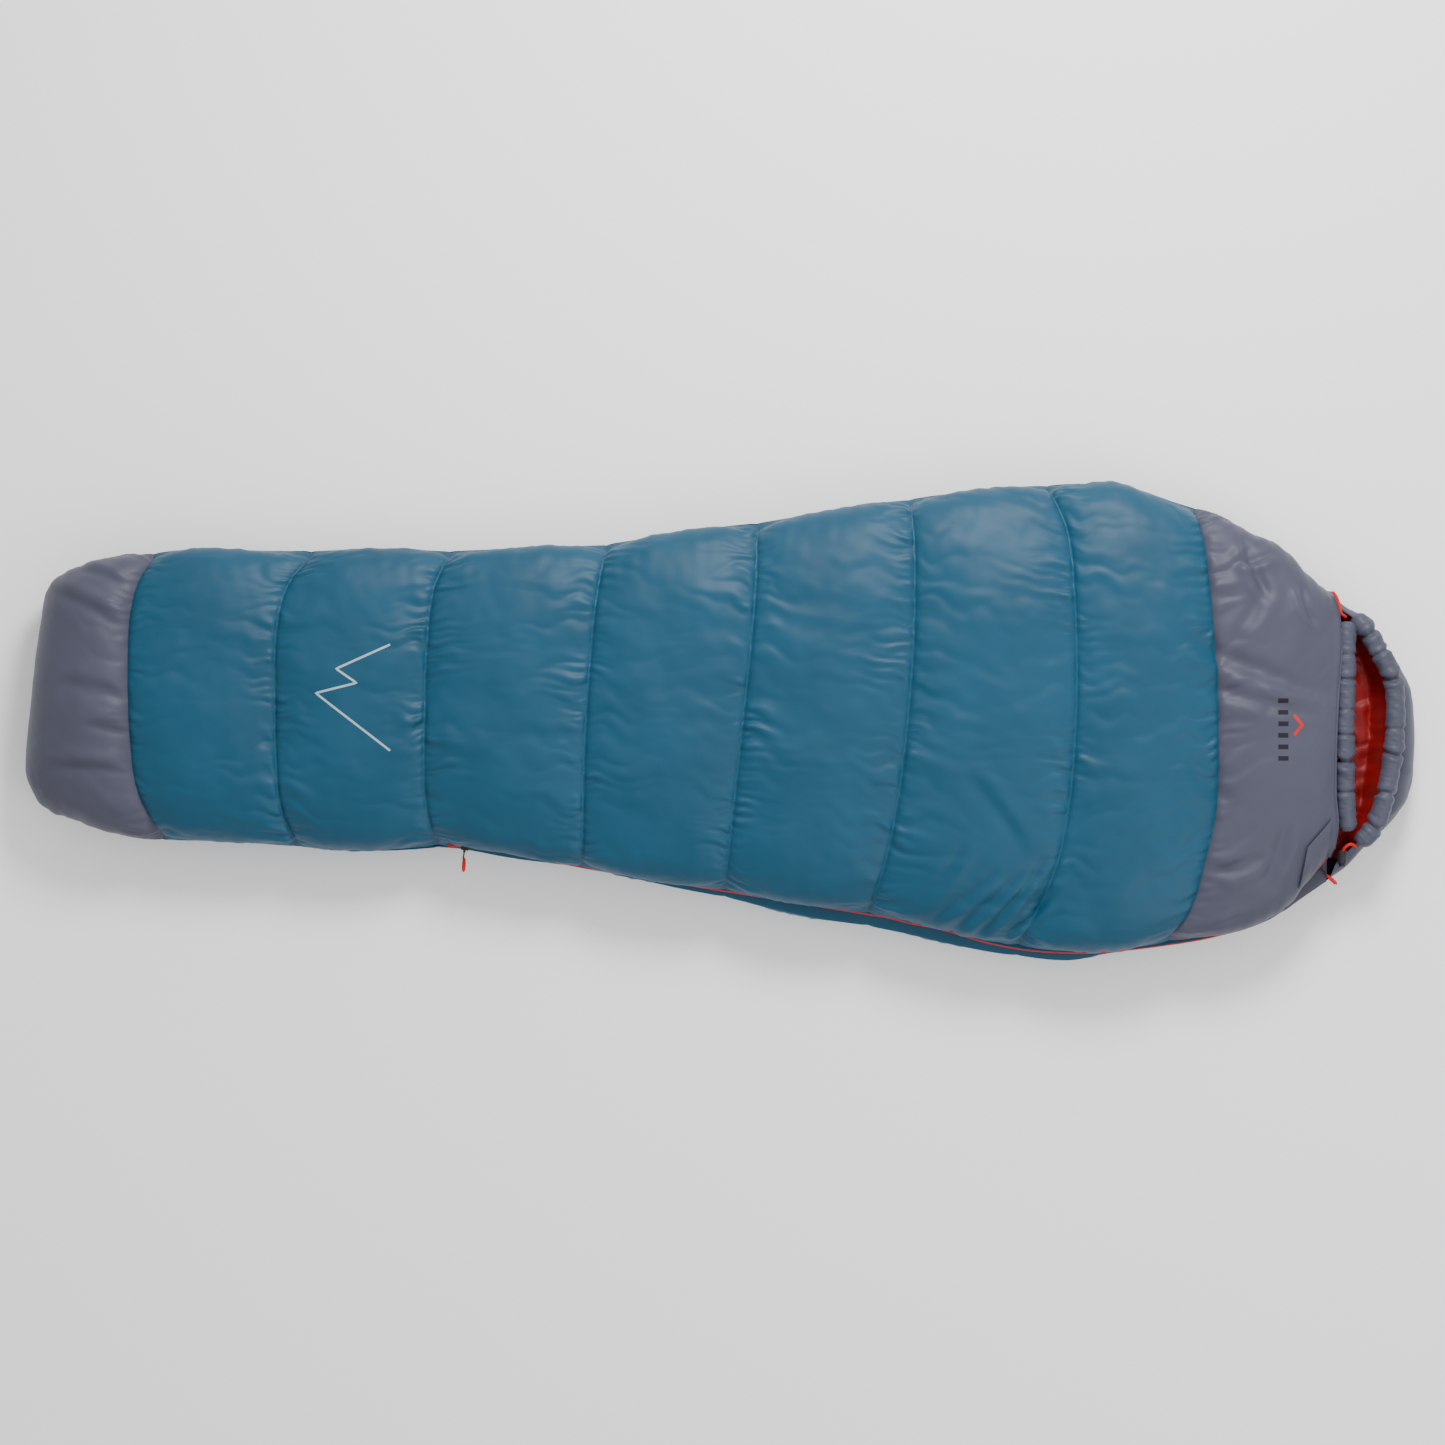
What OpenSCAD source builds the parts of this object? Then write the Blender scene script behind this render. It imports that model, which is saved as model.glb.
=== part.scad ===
// Mummy sleeping bag, lying flat on its back panel with the side zip closed.
// Frame: X runs from the foot (-X) to the hood (+X), the zip is on the -Y side, +Z is up,
// and the origin is on the ground under the middle of the bag.

/* [Bag] */
// Overall length, foot end to the crown of the hood
bag_l = 2200; // [2100:10:2300]
// Widest width, at the shoulders
shoulder_w = 756; // [740:2:790]
// Height of the lofted bag over the chest
chest_h = 160; // [150:1:168]

/* [Quilts] */
// Height of the side seam, where the top and bottom quilts meet
seam_z = 62; // [58:1:66]
// Thickness of the fill in the top quilt
top_loft = 38; // [34:1:44]
// Thickness of the fill in the bottom quilt
bottom_loft = 32; // [28:1:36]
// Thickness of the outer fabric and of the lining, with their stitched hems
fabric_t = 1.5; // [1.2:0.1:1.8]

/* [Zip] */
// Height of the slit that the zip chain closes
zip_slit = 14; // [13.5:0.5:15]
// Radius of one side of the zip coil
coil_r = 1.8; // [1.6:0.1:2]
// Length of a zip pull, from its pin
pull_l = 36; // [30:1:40]

/* [Drawcord lock] */
// Diameter of the lock's barrel
lock_d = 14; // [13:0.5:16]
// Travel of the plunger
plunger_travel = 4; // [3:0.5:4]

/* [Hidden] */

teal = "#2f6f8c";
grey = "#63657a";
dark_grey = "#4a4c58";
red = "#a52024";
bright_red = "#d8352c";
white_fill = "#e8e8e4";
black = "#1d1e22";

nominal_l = 2200;
nominal_w = 756;
nominal_h = 160;
scale_x = bag_l / nominal_l;
scale_y = shoulder_w / nominal_w;
scale_z = chest_h / nominal_h;

gap = 0.3;                   // air between neighbouring pieces
layer_gap = 0.8;             // air between the fill and the fabric on either side of it
fold_gap = 0.5;              // each side of the fold line, between the flap and the fixed top
side_round = 0.32;           // how far the fill draws in at the side seam, per unit of depth
edge_power = 0.8;            // squareness of a section across the bag
loft_power = 0.6;            // squareness of a section in height
across_n = 13;               // points across one surface of a quilt
tube_sides = 8;

// Depth of each layer under the outer face
shell_in = fabric_t;
fill_out = fabric_t + layer_gap;
top_lining_out = fabric_t + top_loft + 2 * gap;
top_fill_in = top_lining_out - layer_gap;
top_lining_in = top_lining_out + fabric_t;
bottom_lining_out = fabric_t + bottom_loft + 2 * gap;
bottom_fill_in = bottom_lining_out - layer_gap;
bottom_lining_in = bottom_lining_out + fabric_t;

// How far a layer draws in at the side seam. The outer fabric keeps its full thickness there.
function draw_in(depth) = min(depth, shell_in) + side_round * max(0, depth - shell_in);

// Outline and profile of the bag at its nominal size, foot to neck
far_edge = [[-1100, -12], [-1085, 112], [-1068, 206], [-1040, 235], [-975, 257], [-910, 269],
            [-500, 273], [-340, 276], [-90, 297], [120, 330], [320, 359], [480, 373], [600, 378],
            [690, 356], [780, 333], [850, 290], [900, 260], [958, 210]];
ground_edge = [[-1100, -96], [-1085, -118], [-1060, -137], [-1000, -158], [-940, -181],
               [-700, -196], [-435, -202], [-245, -229], [-55, -264], [120, -304], [320, -345],
               [450, -370], [560, -378], [690, -356], [780, -339], [890, -298], [958, -252]];
zip_edge = [[-1100, -96], [-1085, -118], [-1060, -137], [-1000, -158], [-940, -181],
            [-700, -195], [-435, -196], [240, -306], [375, -329],
            [486, -354], [570, -360], [644, -355], [707, -347], [771, -336], [840, -316],
            [890, -288], [958, -214.5]];
crown_line = [[-1100, 84], [-1085, 118], [-1068, 132], [-1040, 142], [-1000, 149], [-915, 146],
              [-600, 138], [-300, 142], [0, 150], [300, 158], [520, 160], [700, 156],
              [850, 146], [958, 132]];
belly_line = [[-1100, 22], [-1085, 52], [-1068, 70], [-1040, 84], [-600, 82], [-90, 86],
              [450, 88], [958, 84]];

foot_x = -915;               // seam between the foot cap and the body
fold_x0 = -435;              // the flap's fold line runs from the foot end of the zip ...
fold_x1 = 958;               // ... to the far side of the neck
fold_y1 = 190;
flap_x0 = -355;              // foot end of the flap, just past the zip's bottom stop
yoke_x = 750;                // seam between the body and the shoulder yoke
neck_x = 958;

function far_y(x) = scale_y * lookup(x / scale_x, far_edge);
function ground_y(x) = scale_y * lookup(x / scale_x, ground_edge);
function zip_y(x) = scale_y * lookup(x / scale_x, zip_edge);
function crown_z(x) = scale_z * lookup(x / scale_x, crown_line);
function belly(x) = lookup(x / scale_x, belly_line);

fold_start = [fold_x0 * scale_x, zip_y(fold_x0 * scale_x)];
fold_end = [fold_x1 * scale_x, fold_y1 * scale_y];
fold_slope = (fold_end.y - fold_start.y) / (fold_end.x - fold_start.x);
function fold_y(x) = fold_start.y + fold_slope * (x - fold_start.x);

function signed_pow(v, e) = sign(v) * pow(abs(v), e);
function share(k, n) = k / (n - 1);

// One point of the upper face of the bag at angle a across it (-90 zip side, 90 far side),
// lowered by a depth; base_z is the height of the face's two edges.
function upper_point(x, a, depth, base_z) =
  let (middle = (far_y(x) + zip_y(x)) / 2,
       half = (far_y(x) - zip_y(x)) / 2 - draw_in(depth))
  [x, middle + half * signed_pow(sin(a), edge_power),
   base_z + max(1, crown_z(x) - base_z - depth) * pow(max(0, cos(a)), loft_power)];

// The same for the lower face, which is flat where it lies on the ground.
function lower_point(x, a, depth) =
  let (middle = (far_y(x) + ground_y(x)) / 2,
       half = (far_y(x) - ground_y(x)) / 2 - draw_in(depth),
       top = seam_z - gap / 2)
  [x, middle + half * signed_pow(sin(a), edge_power),
   max(depth, top - max(1, belly(x) - depth) * pow(max(0, cos(a)), loft_power))];

// The angle at which the upper face at some depth is at side position y.
function upper_angle(x, y, depth) =
  let (middle = (far_y(x) + zip_y(x)) / 2,
       half = (far_y(x) - zip_y(x)) / 2 - draw_in(depth))
  asin(signed_pow(max(-1, min(1, (y - middle) / half)), 1 / edge_power));

// Height of the outer face of the top quilt over a plan position.
function top_z(x, y, base_z) = upper_point(x, upper_angle(x, y, 0), 0, base_z).z;

// A closed solid through a list of closed loops that all have the same number of points.
// With layer = true the loop's first half is a layer's outer face and the rest its inner face.
// Both faces then split their quads alike, so that neighbouring layers nest, and the ends are
// closed by a strip of triangles between the two faces.
module loft(loops, layer = false) {
  n = len(loops[0]);
  m = len(loops);
  function on_inner(j) = layer && j >= n / 2;
  function end_face(at) = !layer ? [[for (j = [0 : n - 1]) at + j]] :
    [for (k = [0 : n / 2 - 2], t = [[k, k + 1, n - 1 - k], [k + 1, n - 2 - k, n - 1 - k]])
      [for (q = t) at + q]];
  polyhedron(
    points = [for (l = loops, p = l) p],
    faces = concat(
      end_face(0),
      [for (i = [0 : m - 2], j = [0 : n - 1])
        let (a = i * n + j, b = a + n, c = i * n + (j + 1) % n, d = c + n)
        on_inner(j) ? [a, b, d] : [a, b, c]],
      [for (i = [0 : m - 2], j = [0 : n - 1])
        let (a = i * n + j, b = a + n, c = i * n + (j + 1) % n, d = c + n)
        on_inner(j) ? [a, d, c] : [c, b, d]],
      [for (f = end_face((m - 1) * n)) [for (k = [len(f) - 1 : -1 : 0]) f[k]]]),
    convexity = 6);
}

// A cup: outer and inner loops of the same count, closed at the first pair and open at the last.
module cup(outer, inner) {
  n = len(outer[0]);
  m = len(outer);
  k = n * m;
  polyhedron(
    points = concat([for (l = outer, p = l) p], [for (l = inner, p = l) p]),
    faces = concat(
      [[for (j = [0 : n - 1]) j]],
      [for (i = [0 : m - 2], j = [0 : n - 1])
        [i * n + j, (i + 1) * n + j, i * n + (j + 1) % n]],
      [for (i = [0 : m - 2], j = [0 : n - 1])
        [i * n + (j + 1) % n, (i + 1) * n + j, (i + 1) * n + (j + 1) % n]],
      [[for (j = [n - 1 : -1 : 0]) k + j]],
      [for (i = [0 : m - 2], j = [0 : n - 1])
        [k + i * n + j, k + i * n + (j + 1) % n, k + (i + 1) * n + j]],
      [for (i = [0 : m - 2], j = [0 : n - 1])
        [k + i * n + (j + 1) % n, k + (i + 1) * n + (j + 1) % n, k + (i + 1) * n + j]],
      [for (j = [0 : n - 1])
        [(m - 1) * n + j, k + (m - 1) * n + j, (m - 1) * n + (j + 1) % n]],
      [for (j = [0 : n - 1])
        [(m - 1) * n + (j + 1) % n, k + (m - 1) * n + j, k + (m - 1) * n + (j + 1) % n]]),
    convexity = 8);
}

function scaled(stations) = [for (x = stations) x * scale_x];

// Section of the top quilt between two depths and two side positions.
function upper_section(x, y0, y1, outer, inner, base_z) =
  let (a0 = upper_angle(x, y0, outer), a1 = upper_angle(x, y1, outer),
       b0 = upper_angle(x, y0, inner), b1 = upper_angle(x, y1, inner))
  concat(
    [for (k = [0 : across_n - 1])
      upper_point(x, a0 + (a1 - a0) * share(k, across_n), outer, base_z)],
    [for (k = [across_n - 1 : -1 : 0])
      upper_point(x, b0 + (b1 - b0) * share(k, across_n), inner, base_z)]);

// Section of the bottom quilt between two depths and two angles.
function lower_section(x, a0, a1, outer, inner, n = across_n) =
  concat(
    [for (k = [n - 1 : -1 : 0]) lower_point(x, a0 + (a1 - a0) * share(k, n), outer)],
    [for (k = [0 : n - 1]) lower_point(x, a0 + (a1 - a0) * share(k, n), inner)]);

// Full ring of the bag at one station and depth, used by the foot cap.
function ring(x, depth) =
  let (n = across_n)
  concat(
    [for (k = [0 : n - 1])
      upper_point(x, -90 + 180 * share(k, n), depth, seam_z + gap / 2)],
    [for (k = [n - 1 : -1 : 0])
      let (p = lower_point(x, -90 + 180 * share(k, n), depth))
      [p.x, p.y, max(foot_lift, p.z)]]);

// ---- bottom quilt ----
body_stations = scaled([foot_x + gap, -760, -600, -435, -245, -90, 60, 180, 320, 450, 560, 640,
                        710, 780, 850, 900, neck_x - gap]);
panel_angle = 54;            // where the lower face leaves the ground
wall_n = 5;

module bottom_panel() {
  color(teal)
  linear_extrude(fabric_t)
  polygon(concat(
    [for (x = body_stations) let (p = lower_point(x, -panel_angle, 0)) [p.x, p.y]],
    [for (k = [len(body_stations) - 1 : -1 : 0])
      let (p = lower_point(body_stations[k], panel_angle, 0)) [p.x, p.y]]));
}

module side_wall(a0, a1) {
  color(teal) loft([for (x = body_stations) lower_section(x, a0, a1, 0, shell_in, wall_n)], true);
}

module zip_side_wall() { side_wall(-90, -panel_angle - 2); }
module far_side_wall() { side_wall(panel_angle + 2, 90); }

// Its outer face stays a millimetre further in, because its facets are longer than the walls' ones.
module bottom_insulation() {
  color(white_fill)
  loft([for (x = body_stations) lower_section(x, -90, 90, fill_out + 1, bottom_fill_in)], true);
}

module bottom_lining() {
  color(red)
  loft([for (x = body_stations)
    lower_section(x, -90, 90, bottom_lining_out, bottom_lining_in)], true);
}

// Binding along the zip side: it closes the top of the bottom quilt and carries the zip.
strip_t = 1;
strip_past_zip = 3;
strip_stations = scaled([-431, -245, -90, 60, 240, 375, 486, 570, 644, 707, 771, 840, 890, 957]);

module seam_strip() {
  color(teal)
  loft([for (x = strip_stations)
    let (y0 = ground_y(x) + gap, y1 = zip_y(x) + strip_past_zip)
    [[x, y0, seam_z], [x, y1, seam_z], [x, y1, seam_z + strip_t], [x, y0, seam_z + strip_t]]]);
}

// ---- foot cap ----
foot_stations = scaled([-1100, -1085, -1068, -1040, -985, foot_x]);
foot_taper = 180;            // length over which a deeper layer draws back from the foot end
foot_lift = 0.4;             // the foot cap clears the ground by this much

function foot_rings(depth) =
  [for (x = foot_stations)
    let (back = depth * (foot_stations[len(foot_stations) - 1] - x) / foot_taper)
    ring(x + back, depth)];

module foot_layer(outer, inner) { cup(foot_rings(outer), foot_rings(inner)); }

module foot_shell() { color(grey) foot_layer(0, shell_in); }
module foot_insulation() { color(white_fill) foot_layer(fill_out, bottom_fill_in); }
module foot_lining() { color(red) foot_layer(bottom_lining_out, bottom_lining_in); }

// ---- fixed part of the top quilt: the legs and the far side, beyond the fold line ----
step_x = flap_x0 - 4;        // where the fixed top gives way to the flap
fixed_stations = scaled([foot_x + gap, -760, -600, -435, step_x, step_x + 3, -245, -90, 60, 180,
                         320, 450, 560, 640, 710, yoke_x - gap]);
yoke_stations = scaled([yoke_x, 790, 835, 875, 915, neck_x]);

zip_clear = 9;               // the fixed edge draws back this far beside the zip's lower end
function fixed_edge(x) =
  x > step_x * scale_x ? fold_y(x) + fold_gap
  : zip_y(x) + zip_clear * min(1, max(0, (x / scale_x + 600) / 165));

module fixed_top(stations, outer, inner) {
  loft([for (x = stations)
    upper_section(x, fixed_edge(x), far_y(x), outer, inner, seam_z + gap / 2)], true);
}

module top_shell() { color(teal) fixed_top(fixed_stations, 0, shell_in); }
module yoke_strip() { color(grey) fixed_top(yoke_stations, 0, shell_in); }

// The stations of a layer that runs through the yoke seam without a joint.
function through_yoke(stations) =
  concat([for (x = stations) if (x < (yoke_x - 1) * scale_x) x], yoke_stations);

module top_insulation() {
  color(white_fill) fixed_top(through_yoke(fixed_stations), fill_out, top_fill_in);
}

module top_lining() {
  color(red) fixed_top(through_yoke(fixed_stations), top_lining_out, top_lining_in);
}

// ---- printed mark on the legs: a plain outline of a peak ----
mark_line = [[-520, -44], [-636, 46], [-572, 62], [-604, 84], [-520, 122]];
mark_w = 4;
mark_t = 0.4;
mark_steps = 4;

module print_mark() {
  path = concat(
    [for (i = [0 : len(mark_line) - 2], k = [0 : mark_steps - 1])
      mark_line[i] + (mark_line[i + 1] - mark_line[i]) * k / mark_steps],
    [mark_line[len(mark_line) - 1]]);
  color("white")
  sweep([for (p = path)
          let (x = p.x * scale_x, y = p.y * scale_y)
          [x, y, top_z(x, y, seam_z + gap / 2) + gap]],
        strip_profile(mark_w, 0, mark_t));
}

// ---- flap: the part of the top quilt that folds back when the zip is open ----
flap_base_z = seam_z + zip_slit;
flap_stations = scaled([flap_x0, -245, -90, 60, 180, 320, 450, 560, 640, 710, yoke_x - gap]);

module flap_part(stations, outer, inner) {
  loft([for (x = stations)
    upper_section(x, zip_y(x), fold_y(x) - fold_gap, outer, inner, flap_base_z)], true);
}

module flap_shell() { color(teal) flap_part(flap_stations, 0, shell_in); }
module flap_yoke() { color(grey) flap_part(yoke_stations, 0, shell_in); }

module flap_insulation() {
  color(white_fill) flap_part(through_yoke(flap_stations), fill_out, top_fill_in);
}

module flap_lining() {
  color(red) flap_part(through_yoke(flap_stations), top_lining_out, top_lining_in);
}

// ---- tubes and strips that follow a path ----
function direction(path, i) =
  let (a = path[max(0, i - 1)], b = path[min(len(path) - 1, i + 1)], d = b - a) d / norm(d);

// The section plane at a path point: side is level and square to the path, up completes it.
function path_loop(path, i, profile) =
  let (d = direction(path, i),
       side = [d.y, -d.x, 0] / norm([d.y, -d.x]),
       up = cross(side, d))
  [for (q = profile) path[i] + side * q.x + up * q.y];

function round_profile(r, sides = tube_sides) =
  [for (k = [0 : sides - 1]) r * [cos(360 * k / sides), sin(360 * k / sides)]];

module sweep(path, profile) {
  loft([for (i = [0 : len(path) - 1]) path_loop(path, i, profile)]);
}

// ---- zip ----
zip_mid = seam_z + zip_slit / 2;
coil_gap = 0.8;              // from the middle of the chain to each coil, at its top
chain_inset = 1.5;           // how far the chain sits inside the edge of the top quilt
tape_t = 1;
zip_stations = scaled([fold_x0 + 6, -355, 240, 310, 375, 430, 486, 530, 570, 610,
                       644, 675, 707, 740, 771, 805, 840, 865, 890, 954]);
flap_zip_stations = [for (x = zip_stations) if (x >= flap_x0 * scale_x) x];

function chain_path(stations, z, inset = chain_inset) =
  [for (x = stations) [x, zip_y(x) + inset, z]];

function strip_profile(w, z0, z1) =
  [[-w / 2, z0], [w / 2, z0], [w / 2, z1], [-w / 2, z1]];

module zip_tape_base() {
  color(teal)
  sweep(chain_path(zip_stations, 0),
        strip_profile(tape_t, seam_z + strip_t + 0.1, zip_mid - coil_gap - 2 * coil_r - 0.1));
}

module zip_coil_base() {
  color(bright_red)
  sweep(chain_path(zip_stations, zip_mid - coil_gap - coil_r), round_profile(coil_r));
}

module zip_tape_flap() {
  color(teal)
  sweep(chain_path(flap_zip_stations, 0),
        strip_profile(tape_t, zip_mid + coil_gap + 2 * coil_r + 0.1, flap_base_z - gap));
}

module zip_coil_flap() {
  color(bright_red)
  sweep(chain_path(flap_zip_stations, zip_mid + coil_gap + coil_r), round_profile(coil_r));
}

stop_l = 5;

// A moulded stop across the chain, at one end of the zip.
module zip_stop(x, h, along) {
  angle = atan2(zip_y(x + 1) - zip_y(x), 1);
  color(bright_red)
  translate([x, zip_y(x) + chain_inset, seam_z + strip_t + 0.1])
  rotate([0, 0, angle])
  translate([along, -2.2, 0]) cube([stop_l, 4.4, h]);
}

module zip_bottom_stop() { zip_stop(zip_stations[0], 7, -stop_l - gap); }
module zip_top_stop() { zip_stop(zip_stations[len(zip_stations) - 1], 5, gap); }

// ---- sliders and pulls, drawn at the origin with the zip along X and the outside at -Y ----
slider_l = 12;
plate_t = 1.2;
channel = coil_r + 0.3;      // half width of the slider's channel round the coil
bridge_top = 0.3;            // over the middle of the chain
plate_drop = 5.4;
pin_r = 0.8;
pin_run = 0.1;               // running clearance of the pull on its pin
pin_out = 2.4;               // pin's distance from the outer plate
eye_h = 3.2;
ear_t = 0.9;
pull_w = 6;
tab_l = 12;

module slider_body() {
  outer_y = -channel - plate_t;
  ear_z = bridge_top - 0.2;
  color(dark_grey) {
    difference() {
      translate([-slider_l / 2, outer_y, -plate_drop])
        cube([slider_l, 2 * (channel + plate_t), plate_drop + bridge_top]);
      translate([-slider_l, -channel, -plate_drop - 1])
        cube([2 * slider_l, 2 * channel, plate_drop + 1 - 0.5]);
    }
    for (top = [ear_z, ear_z - ear_t - eye_h - 0.4])
      translate([0, outer_y - pin_out, top - ear_t]) {
        cylinder(r = 1.8, h = ear_t, $fn = 32);
        translate([-1.8, 0, 0]) cube([3.6, pin_out + 0.4, ear_t]);
      }
    translate([0, outer_y - pin_out, ear_z - 2 * ear_t - eye_h - 0.4])
      cylinder(r = pin_r, h = eye_h + 0.4 + 2 * ear_t, $fn = 32);
  }
}

pull_y = -channel - plate_t - pin_out;
pull_z = -ear_t - eye_h - 0.1;

module pull_tab() {
  color(dark_grey)
  translate([0, pull_y, pull_z]) difference() {
    union() {
      cylinder(r = 2, h = eye_h, $fn = 32);
      translate([-1.2, -tab_l, 0.6]) cube([2.4, tab_l, eye_h - 1.2]);
    }
    translate([0, 0, -1]) cylinder(r = pin_r + pin_run, h = eye_h + 2, $fn = 32);
  }
}

module pull_cord() {
  color(bright_red)
  translate([0, pull_y - tab_l - gap, pull_z]) {
    translate([-pull_w / 2, -(pull_l - tab_l - 3), 0.2]) cube([pull_w, pull_l - tab_l - 3, eye_h - 0.4]);
    translate([0, -(pull_l - tab_l - 3), 0.2]) cylinder(d = pull_w, h = eye_h - 0.4, $fn = 32);
  }
}

lower_x = -408 * scale_x;    // rest places of the two sliders
upper_x = 944 * scale_x;

// Puts a slider's pieces on the chain at station x, in line with the zip.
module on_chain(x) {
  angle = atan2(zip_y(x + 5) - zip_y(x - 5), 10);
  translate([x, zip_y(x) + chain_inset, zip_mid]) rotate([0, 0, angle]) children();
}

module lower_slider_body() { on_chain(lower_x) slider_body(); }
module lower_pull_tab() { on_chain(lower_x) pull_tab(); }
module lower_pull_cord() { on_chain(lower_x) pull_cord(); }
module upper_slider_body() { on_chain(upper_x) slider_body(); }
module upper_pull_tab() { on_chain(upper_x) pull_tab(); }
module upper_pull_cord() { on_chain(upper_x) pull_cord(); }

// ---- draft tube behind the zip ----
draft_r = 9;
draft_inset = 36;
draft_stations = scaled([-270, -180, -90, 0, 90, 180, 280, 375, 450, 520, 580, 644, 707, 771, 820]);

// Height of the flap's lining, seen from inside the bag.
function flap_underside(x, y) =
  upper_point(x, upper_angle(x, y, top_lining_in), top_lining_in, flap_base_z).z;

module draft_tube() {
  color(red)
  sweep([for (x = draft_stations)
          let (y = zip_y(x) + draft_inset)
          [x, y, flap_underside(x, y - draft_r) - draft_r]],
        round_profile(draft_r));
}

// ---- rolls round the face opening ----
chin_r = 15;
chin_path = [[981, 125, 106], [979, 105, 108], [979, 60, 110], [979, 0, 111], [979, -55, 111],
             [979, -100, 109], [979, -138, 106], [979, -166, 103]];
piping_r = 2.2;
piping_x = 960.7;
piping_ys = [180, 120, 60, 0, -60, -120, -165, -200];
piping_drop = 5;             // below the yoke's outer face

function scaled_path(path) = [for (p = path) [p.x * scale_x, p.y * scale_y, p.z * scale_z]];

module chin_roll() { color(dark_grey) sweep(scaled_path(chin_path), round_profile(chin_r)); }

module neck_piping() {
  x = neck_x * scale_x;
  color(grey)
  sweep([for (y = piping_ys)
          [piping_x * scale_x, y * scale_y, top_z(x, y * scale_y, flap_base_z) - piping_drop]],
        round_profile(piping_r));
}

// ---- hood: a wall that curls up from the floor to the rim round the face ----
hood_outline = [[959, 209], [989, 184], [1021, 166], [1040, 138], [1056, 112], [1078, 82],
                [1094, 48], [1100, 5], [1100, -50], [1092, -104], [1076, -140], [1052, -170],
                [1021, -198], [989, -231], [959, -251]];
// Middle of the padded roll round the face; the wall's crest runs under it.
hood_rim = [[975, 178, 92], [994, 166, 97], [1011, 151, 101], [1025, 128, 103],
            [1037, 106, 105], [1053, 74, 107], [1058, 40, 108], [1058, 2, 109],
            [1055, -45, 109], [1046, -98, 107], [1037, -138, 104], [1020, -172, 99],
            [1001, -190, 96], [985, -206, 90], [972, -218, 86]];
hood_mid_z = 42;
hood_tuck = 6;
hood_loft = 14;
roll_r = 15;
roll_points = 13;            // the roll stops short of the cord lock
lining_foot = 0.648;         // how far down the wall the lining reaches, to the floor's lining

function outline_at(i) = [hood_outline[i].x * scale_x, hood_outline[i].y * scale_y];
function rim_at(i) = [hood_rim[i].x * scale_x, hood_rim[i].y * scale_y];
function rim_z(i) = hood_rim[i].z * scale_z;
function crest_z(i) = rim_z(i) - roll_r - gap;
function outward(i) = let (d = outline_at(i) - rim_at(i)) d / norm(d);

// A point of the hood wall: q runs from the crest (0) over the bulge (0.6) to the ground (1).
function hood_point(i, q, depth) =
  let (up = min(1, q / 0.6) * 90, under = max(0, q - 0.6) / 0.4 * 90,
       u = outward(i),
       place = rim_at(i) + (outline_at(i) - rim_at(i) - u * depth) * sin(up)
               - u * hood_tuck * (1 - cos(under)),
       z = q <= 0.6 ? hood_mid_z + (crest_z(i) - hood_mid_z - depth) * cos(up)
                    : hood_mid_z * (1 - sin(under)))
  [place.x, place.y, max(0.2, depth, z)];

hood_n = 6;

module hood_wall(outer, inner, foot = 1) {
  loft([for (i = [0 : len(hood_rim) - 1]) concat(
    [for (k = [hood_n - 1 : -1 : 0]) hood_point(i, foot * share(k, hood_n), outer)],
    [for (k = [0 : hood_n - 1]) hood_point(i, foot * share(k, hood_n), inner)])], true);
}

// The part of the bottom quilt under the head, inside the wall by an inset.
module hood_floor(z0, z1, inset) {
  x = neck_x * scale_x + gap;
  rim = [for (i = [0 : len(hood_rim) - 1]) outline_at(i) - outward(i) * inset];
  translate([0, 0, z0]) linear_extrude(z1 - z0)
  polygon(concat([[x, rim[0].y]], rim, [[x, rim[len(rim) - 1].y]]));
}

hood_lining_out = fill_out + hood_loft + 3;

module hood_shell() { color(grey) hood_wall(0, shell_in); }
module hood_floor_panel() { color(grey) hood_floor(0, fabric_t, hood_tuck + shell_in + gap); }

module hood_insulation() { color(white_fill) hood_wall(fill_out, fill_out + hood_loft); }
module hood_floor_insulation() {
  color(white_fill)
  hood_floor(fill_out, bottom_fill_in, hood_tuck + fill_out + hood_loft + gap);
}

module hood_lining() {
  color(red) hood_wall(hood_lining_out, hood_lining_out + fabric_t, lining_foot);
}
module hood_floor_lining() {
  color(red)
  hood_floor(bottom_lining_out, bottom_lining_in, hood_lining_out + fabric_t + 2 * gap);
}

module hood_rim_roll() {
  color(dark_grey)
  sweep([for (i = [1 : roll_points - 1]) [rim_at(i).x, rim_at(i).y, rim_z(i)]],
        round_profile(roll_r, 10));
}

// ---- drawcord and its lock ----
cord_r = 1.5;
lock_l = 20;
lock_at = [978, -212, 86];
lock_wall = 1.8;
plunger_r = lock_d / 2 - lock_wall - 0.15;
plunger_l = 14;
bore_l = 15;
cord_hole_r = 2.2;
spring_r = 3;
spring_wire_r = 0.5;
spring_turns = 3;
spring_l = bore_l - plunger_l + plunger_travel;

cord_out = 13;               // the cord lies in the groove outside the roll
cord_up = 2.2;
// Where the cord shows at the far side of the neck, and where it comes to the lock
cord_far_end = [[964, 203, 104], [967, 190, 113], [972, 184, 104]];
cord_lock_end = [[1003, -207, 82], [990, -201, 84], [983, -195, 85.5], [979.5, -195, 86],
                 [978, -198, 86]];

module hood_drawcord() {
  color(bright_red)
  sweep(concat(
    scaled_path(cord_far_end),
    [for (i = [1 : roll_points - 1])
      let (p = rim_at(i) + outward(i) * cord_out) [p.x, p.y, crest_z(i) + cord_up]],
    scaled_path(cord_lock_end),
    [[lock_at.x * scale_x, lock_at.y * scale_y + lock_l / 2 + 1, lock_at.z * scale_z],
     [lock_at.x * scale_x, lock_at.y * scale_y + lock_l / 2 - 3, lock_at.z * scale_z]]),
    round_profile(cord_r));
}

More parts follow.
